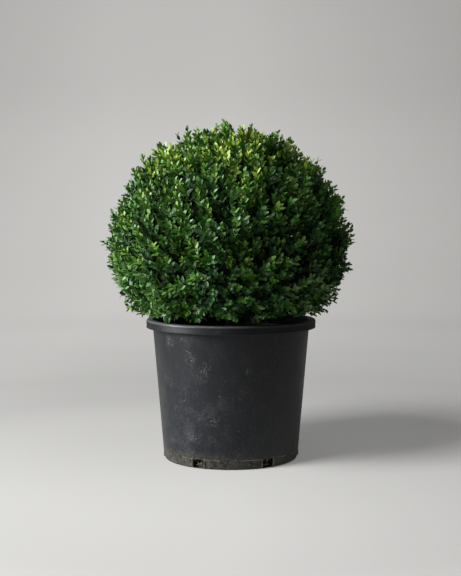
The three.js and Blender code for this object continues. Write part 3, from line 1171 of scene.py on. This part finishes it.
# %% Shoots
OUTER_SHOOTS = 2800
INNER_SHOOTS = 1200
LOW_SHOOTS = 240
LOWEST_SHOOT = -0.80
TURN_UP = 0.8
STRAY = 0.20
LEAFY_LENGTH = 40 * MM
SHORT_LENGTH = 0.8 * LEAFY_LENGTH
LENGTH_SHARES = (0.75, 1.15)
OUTER_DEPTHS = (9 * MM, 34 * MM)
INNER_DEPTHS = (38 * MM, 62 * MM)
CLUMP_SIZE = 24 * MM
CLUMP_DEPTH = 22 * MM
VALLEY_SIZE = 62 * MM
VALLEY_DEPTH = 48 * MM
LOW_RING = (118, 180)
LOW_TIPS = 34 * MM
SKIRT_GAP = 14 * MM
SKIRT_WANDER = 26 * MM
DROOP = 12 * MM
LOOSE_SKIRT = 20 * MM
RIM_CLEARANCE = 12 * MM
SHOOT_WOOD = {"sag": 0.05, "foot_thickness": 0.95 * MM, "tip_thickness": 0.8 * MM, "steps": 2}
SHOOT_TIP_RADIUS = 0.35 * MM
RIM_INSIDE = RIM_RADIUS - 24 * MM
RIM_OUTSIDE = RIM_RADIUS + 10 * MM


def clumps(places, size, salt):
    """A smooth seeded unevenness from about -0.5 to 0.5 at each place."""
    aside = Vector((salt, 0, 0))
    return np.array([noise_at(Vector(place) / size + aside) for place in places])


def low_shoots(count, length):
    """Feet, tips and directions of the shoots under the ball, over the rim and just inside it."""
    turns = GOLDEN_ANGLE * np.arange(count)
    ways = np.stack((np.cos(turns), np.sin(turns), np.full(count, -0.5)), axis=1)
    tips = ways * (1, 1, 0) * rng.uniform(*LOW_RING, count)[:, None] * MM
    tips[:, 2] = np.maximum(skirt_foot(tips), POT_HEIGHT - 6 * MM) + LOW_TIPS * rng.random(count) ** 1.5
    aims = unit(ways * (1, 1, 0) + rng.normal(0, 0.35, ways.shape) + (0, 0, 0.25))
    feet = tips - aims * (length * rng.uniform(*LENGTH_SHARES, count))[:, None]
    lift = clearing_rim(feet, tips)
    return feet + lift, tips + lift, unit(ways)


def clearing_rim(feet, tips):
    """How far to raise each shoot that crosses the pot's rim, so that its leaves pass over it."""
    foot_reach, tip_reach = (np.hypot(ends[:, 0], ends[:, 1]) for ends in (feet, tips))
    furthest, nearest = np.maximum(foot_reach, tip_reach), np.minimum(foot_reach, tip_reach)
    crosses = (furthest > RIM_INSIDE) & (nearest < RIM_OUTSIDE)
    short = POT_HEIGHT + RIM_CLEARANCE - np.minimum(feet[:, 2], tips[:, 2])
    return (np.maximum(short, 0) * crosses)[:, None] * UP


def skirt_foot(places):
    """How low leaves hang at each place: unevenly over the rim, and lower past it at the two sides."""
    across = np.hypot(places[:, 0], places[:, 1])
    around = places * (1, 1, 0) / across[:, None]
    beside = np.abs(around[:, 0]) ** 6 * (across > RIM_RADIUS + 6 * MM)
    return POT_HEIGHT + SKIRT_GAP + SKIRT_WANDER * clumps(around, 0.3, 5) - DROOP * beside


def shoots_over(count, shallowest, deepest, length):
    """Feet, tips and directions of shoots whose tips lie between two depths."""
    places, ways = shell(count, LOWEST_SHOOT, 1, 0.9)
    side_share = np.clip((ways[:, 2] + 0.75) / 0.75, 0, 1) * TURN_UP
    aims = unit(ways + rng.normal(0, STRAY, ways.shape) + side_share[:, None] * UP)
    depths = rng.uniform(shallowest, deepest, count) - CLUMP_DEPTH * clumps(places, CLUMP_SIZE, 3)
    depths += VALLEY_DEPTH * np.maximum(clumps(places, VALLEY_SIZE, 7), 0)
    tips = BALL_CENTRE + ways * (clipped_radius(ways) - np.maximum(depths, 0))[:, None]
    feet = tips - aims * (length * rng.uniform(*LENGTH_SHARES, count))[:, None]
    lowest = skirt_foot(tips)
    above = np.minimum(feet[:, 2], tips[:, 2]) - lowest
    kept = above > LOOSE_SKIRT * rng.random(count) ** 2
    lift = clearing_rim(feet, tips)
    return (feet + lift)[kept], (tips + lift)[kept], ways[kept]


outer = shoots_over(OUTER_SHOOTS, *OUTER_DEPTHS, LEAFY_LENGTH)
inner = shoots_over(INNER_SHOOTS, *INNER_DEPTHS, SHORT_LENGTH)
low = low_shoots(LOW_SHOOTS, SHORT_LENGTH)
feet, tips, ways = (np.concatenate(rows) for rows in zip(outer, low, inner))
is_inner = np.arange(len(feet)) >= len(outer[0]) + len(low[0])
reaches = np.linalg.norm(tips - feet, axis=1)
aims = unit(tips - feet)
shoot_paths = spring(twig_paths, feet, **SHOOT_WOOD)
shoot_paths = [np.vstack((path, [*tip, SHOOT_TIP_RADIUS])) for path, tip in zip(shoot_paths, tips)]
shoots = limbs_along("shoots", shoot_paths, GREEN_WOOD, 3, 0.0, 1.0)
hand_over(shoots, "leaves", "foliage")
print("shoots:", len(shoot_paths), "with", len(shoots.data.polygons), "faces")

# %% [markdown]
# ## Leaves
#
# A box leaf is a small leathery oval with a blunt tip, folded a little along its midrib and
# domed. One sheet of twelve triangles is enough, since there are tens of thousands of them. Two
# more kinds, a narrow one and a cupped one, keep the crown from looking stamped.


# %% The kinds of leaf
def leaf_mesh(name, half_width, fold, curl):
    """A leaf of unit length from its foot along +Y, with its upper face to +Z."""
    outline = ((0.20, 0.66), (0.52, 1.0), (0.84, 0.60))
    rows = [(0, 0, 0)]
    for along, wide in outline:
        drop = -curl * along**2
        side = half_width * wide
        rows += [(-side, along, drop + fold * wide), (0, along, drop), (side, along, drop + fold * wide)]
    rows.append((0, 1, -curl))
    faces = [(0, 2, 1), (0, 3, 2), (7, 8, 10), (8, 9, 10)]
    for k in (1, 4):
        faces += [(k, k + 1, k + 4, k + 3), (k + 1, k + 2, k + 5, k + 4)]
    mesh = bpy.data.meshes.new(name)
    mesh.from_pydata(rows, [], faces)
    mesh.shade_smooth()
    return mesh


leaf_kinds = bpy.data.collections.new("leaf_kinds")
hidden_kind(leaf_kinds, leaf_mesh("leaf_broad", 0.28, 0.035, 0.05))
hidden_kind(leaf_kinds, leaf_mesh("leaf_narrow", 0.22, 0.055, 0.10))
hidden_kind(leaf_kinds, leaf_mesh("leaf_cupped", 0.25, 0.08, -0.06))

# %% [markdown]
# Box leaves sit in pairs, each pair a quarter turn from the one below. The tree copies every
# shoot's point once for each leaf, moves the copy along the shoot to its rank, opens it out
# from the shoot, wide at the foot and close at the tip, and lays a leaf there.


# %% A tree that dresses shoots with leaves
def leaf_tree():
    tree, wiring, given = geometry_tree(
        "leaf_sprays",
        {"Kinds": "Collection", "First Rank": "Int", "Ranks Here": "Int", "Ranks": "Int",
         "Leaf Length": "Float", "Foot Spread": "Float", "Tip Spread": "Float", "Seed": "Int",
         "Finish": "Material"},
    )
    copies = wiring.add(
        "GeometryNodeDuplicateElements", given["Geometry"], None,
        wiring.times(given["Ranks Here"], 2), domain="POINT",
    )
    number = copies.outputs["Duplicate Index"]
    rank = wiring.total(wiring.math("FLOOR", wiring.math("DIVIDE", number, 2)), given["First Rank"])
    half = wiring.math("MODULO", number, 2)
    share = wiring.math("DIVIDE", wiring.total(rank, 0.5), given["Ranks"])
    aim = named(wiring, "aim", "FLOAT_VECTOR")
    offset = wiring.scaled(aim, wiring.times(share, named(wiring, "reach")))
    placed = wiring.add("GeometryNodeSetPosition", copies, None, None, offset)

    def chance(low, high, salt, kind="FLOAT"):
        return wiring.random(low, high, wiring.total(given["Seed"], salt), kind)

    turn = wiring.times(wiring.total(wiring.times(rank, 0.5), half), math.pi)
    turn = wiring.total(turn, named(wiring, "turn"), chance(-0.3, 0.3, 1))
    side = wiring.add(
        "ShaderNodeVectorRotate", named(wiring, "across", "FLOAT_VECTOR"), None, aim, turn,
        rotation_type="AXIS_ANGLE",
    )
    spread = wiring.remapped(share, 0.0, 1.0, given["Foot Spread"], given["Tip Spread"])
    spread = wiring.total(spread, chance(-0.25, 0.25, 2))
    along = wiring.vector(
        "ADD",
        wiring.scaled(aim, wiring.math("COSINE", spread)),
        wiring.scaled(side, wiring.math("SINE", spread)),
    )
    pointed = wiring.add("FunctionNodeAlignRotationToVector", None, 1.0, along, axis="Y")
    faced = wiring.add("FunctionNodeAlignRotationToVector", pointed, 1.0, aim, axis="Z", pivot_axis="Y")
    most_tilt = np.array((0.28, 0.5, 0.15))
    tilt = chance((-most_tilt).tolist(), most_tilt.tolist(), 3, "FLOAT_VECTOR")
    tilt = wiring.add("FunctionNodeEulerToRotation", tilt)
    turned = wiring.add("FunctionNodeRotateRotation", faced, tilt, rotation_space="LOCAL")
    young = wiring.remapped(share, 0.6, 1.0, 1.0, 0.75)
    size = wiring.times(given["Leaf Length"], young, chance(0.82, 1.12, 4))
    kinds = wiring.add("GeometryNodeCollectionInfo", given["Kinds"], True, True)
    which = chance(0, 2, 5, "INT")
    leaves = wiring.add("GeometryNodeInstanceOnPoints", placed, None, kinds, True, which, turned, size)
    end_tree(wiring, leaves, given)
    return tree


LEAF_SPRAYS = leaf_tree()
print("tree", LEAF_SPRAYS.name, "with", len(LEAF_SPRAYS.nodes), "nodes")

# %% [markdown]
# The crown isn't one green. Old leaves are deep and bluish, this year's are mid green, and the
# newest shoots, most of them on top where the light is, are a sharp yellow green. A few low ones
# are painted pale, a painted sheen on their faces. Each shoot is dealt one of these tones, and its
# outer leaves a step fresher than its inner ones. The shader gives the gloss, with the pale tone's
# painted sheen besides, and old leaves have less of it.

# %% The greens
GREENS = {
    # A painted sheen: pale greyish green for some low shoots.
    "pale": (0.080, 0.160, 0.044, 1),
    "deep": (0.006, 0.022, 0.003, 1),
    "bluish": (0.016, 0.072, 0.012, 1),
    "mid": (0.032, 0.122, 0.010, 1),
    "fresh": (0.060, 0.186, 0.014, 1),
    "bright": (0.128, 0.260, 0.020, 1),
    "lime": (0.275, 0.405, 0.042, 1),
}
RANKS = 6
OLD_RANKS = 3
LEAF_LENGTH = 14 * MM
LEAF_GLOSS = {"deep": 0.2, "bluish": 0.5}
NEW_LEAF_GLOSS = 0.65


def leaf_green(name, colour):
    finish = Finish("leaf_" + name, 0.36)
    finish.feed("Base Color", colour)
    finish.feed("Specular IOR Level", LEAF_GLOSS.get(name, NEW_LEAF_GLOSS))
    finish.feed("Roughness", finish.remapped(finish.noise(80, 2), 0.35, 0.6, 0.42, 0.58))
    finish.relief(finish.noise(900, 2), 0.2, 0.2 * MM)
    return finish.material


greens = {name: leaf_green(name, colour) for name, colour in GREENS.items()}
print("greens:", list(greens))

# %% [markdown]
# Tones are numbered from pale and deep up to lime. The higher a shoot stands the higher its tone,
# with patches and a large share of luck. The lit left flank is dealt fresher tones, as painted
# light, and the inner shoots deeper ones, as painted shade. Old and new ranks of one tone become
# two pieces, so that no piece grows too large.

# %% Leaves on every shoot
names = list(GREENS)
PALE_SHEEN, DEEP = 0, 1
MIDDLE_TONE = 2.2
TOP_FRESHER = 2.4
PATCH_SIZE = 60 * MM
PATCH_STRENGTH = 1.4
LUCK = 0.8
# How much deeper inner shoots are dealt, as painted shade in the hollows.
INNER_PAINTED_SHADE = 2.4
# How much fresher the lit left flank is dealt, as painted light.
LIT_SIDE_PAINTED_LIGHT = 1.1
FRESHEST_LOW, FRESHEST_RISE = 2.9, 3.7
PALE_SHEEN_UNDER, PALE_SHEEN_SHARE = -0.15, 0.12
FOOT_SPREAD, TIP_SPREAD = 1.05, 0.45

height_share = np.clip((ways[:, 2] + 0.3) / 1.3, 0, 1)
patches = PATCH_STRENGTH * clumps(tips, PATCH_SIZE, 9)
luck = rng.normal(0, LUCK, len(tips))
# Painted shade: inner shoots are dealt deeper tones.
tone = MIDDLE_TONE + TOP_FRESHER * height_share**3 + patches + luck - INNER_PAINTED_SHADE * is_inner
# Painted light: shoots on the lit left flank get fresher tones.
tone += LIT_SIDE_PAINTED_LIGHT * np.clip(-ways[:, 0], 0, 1) * (1 - np.clip(ways[:, 2], 0, 1)) ** 2
tone = np.minimum(tone, FRESHEST_LOW + FRESHEST_RISE * height_share)
tone = np.round(np.clip(tone, DEEP, len(names) - 1.51)).astype(int)
# Painted sheen: some low outer shoots get the pale tone.
tone[(ways[:, 2] < PALE_SHEEN_UNDER) & (rng.random(len(tips)) < PALE_SHEEN_SHARE) & ~is_inner] = PALE_SHEEN
helper = np.where(np.abs(aims[:, 2:]) < 0.9, UP, np.array((1, 0, 0)))
acrosses = unit(np.cross(aims, helper))
turns = rng.uniform(0, math.pi, len(tips))


def shoot_points(name, chosen):
    """The chosen shoots as points at their leafy foot, with what the tree needs to know."""
    mesh = bpy.data.meshes.new(name)
    mesh.from_pydata(feet[chosen].tolist(), [], [])
    for label, rows in (("aim", aims), ("across", acrosses), ("reach", reaches), ("turn", turns)):
        store(mesh, label, rows[chosen])
    return mesh


AGES = (("old", 0, OLD_RANKS, 0), ("new", OLD_RANKS, RANKS - OLD_RANKS, 1))
for k, green in enumerate(names):
    for age, first, ranks, fresher in AGES:
        dealt = np.minimum(tone + fresher * (tone != PALE_SHEEN), len(names) - 1)
        chosen = np.flatnonzero(dealt == k)
        if not len(chosen):
            continue
        name = f"leaves_{green}_{age}"
        leaves = grown(
            name, shoot_points(name, chosen), LEAF_SPRAYS, Kinds=leaf_kinds, First_Rank=first,
            Ranks_Here=ranks, Ranks=RANKS, Leaf_Length=LEAF_LENGTH, Foot_Spread=FOOT_SPREAD,
            Tip_Spread=TIP_SPREAD, Seed=10 * k + first, Finish=greens[green],
        )
        hand_over(leaves, "leaves", "foliage")
        triangles = sum(len(face.vertices) - 2 for face in leaves.data.polygons)
        print(name, len(chosen), "shoots", triangles, "triangles")
drop_kinds(leaf_kinds)

# %% [markdown]
# ## The last update
#
# Last, the view layer is brought up to date.

# %% The last update
bpy.context.view_layer.update()
